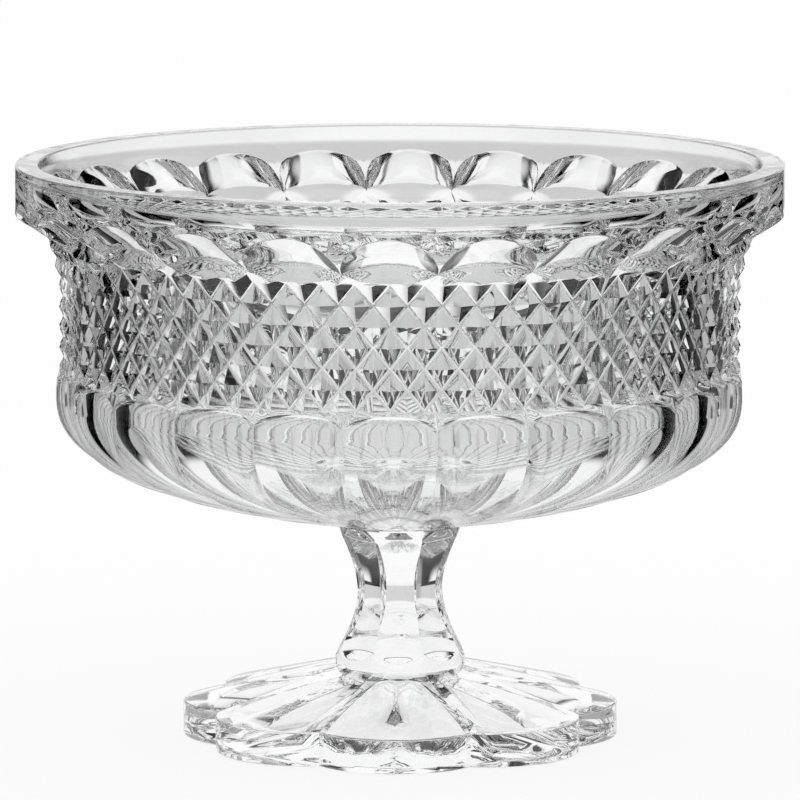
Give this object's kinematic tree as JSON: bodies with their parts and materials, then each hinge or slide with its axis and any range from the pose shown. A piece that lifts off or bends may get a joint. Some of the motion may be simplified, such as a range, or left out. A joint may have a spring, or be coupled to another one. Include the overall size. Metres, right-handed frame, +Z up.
{
  "type": "footed salad bowl",
  "caption": "Clear crystal salad bowl with a flat rim, scooped neck, diamond-cut band and fluted underside, on a faceted stem and a scalloped foot.",
  "frame": {"origin": "centre of the foot's underside, on the surface the bowl stands on", "axes": "+Z up along the axis of bowl, stem and foot; -Y is the side the picture shows"},
  "size_m": [0.25, 0.25, 0.1886],
  "materials": {
    "bowl_crystal": "fire-polished clear crystal",
    "stem_crystal": "fire-polished clear crystal",
    "foot_crystal": "fire-polished clear crystal",
    "clear_bond": "clear cured adhesive"
  },
  "bodies": {
    "root": {"foot": "foot_crystal", "lower_bond": "clear_bond", "stem": "stem_crystal", "upper_bond": "clear_bond", "bowl": "bowl_crystal"}
  },
  "joints": []
}
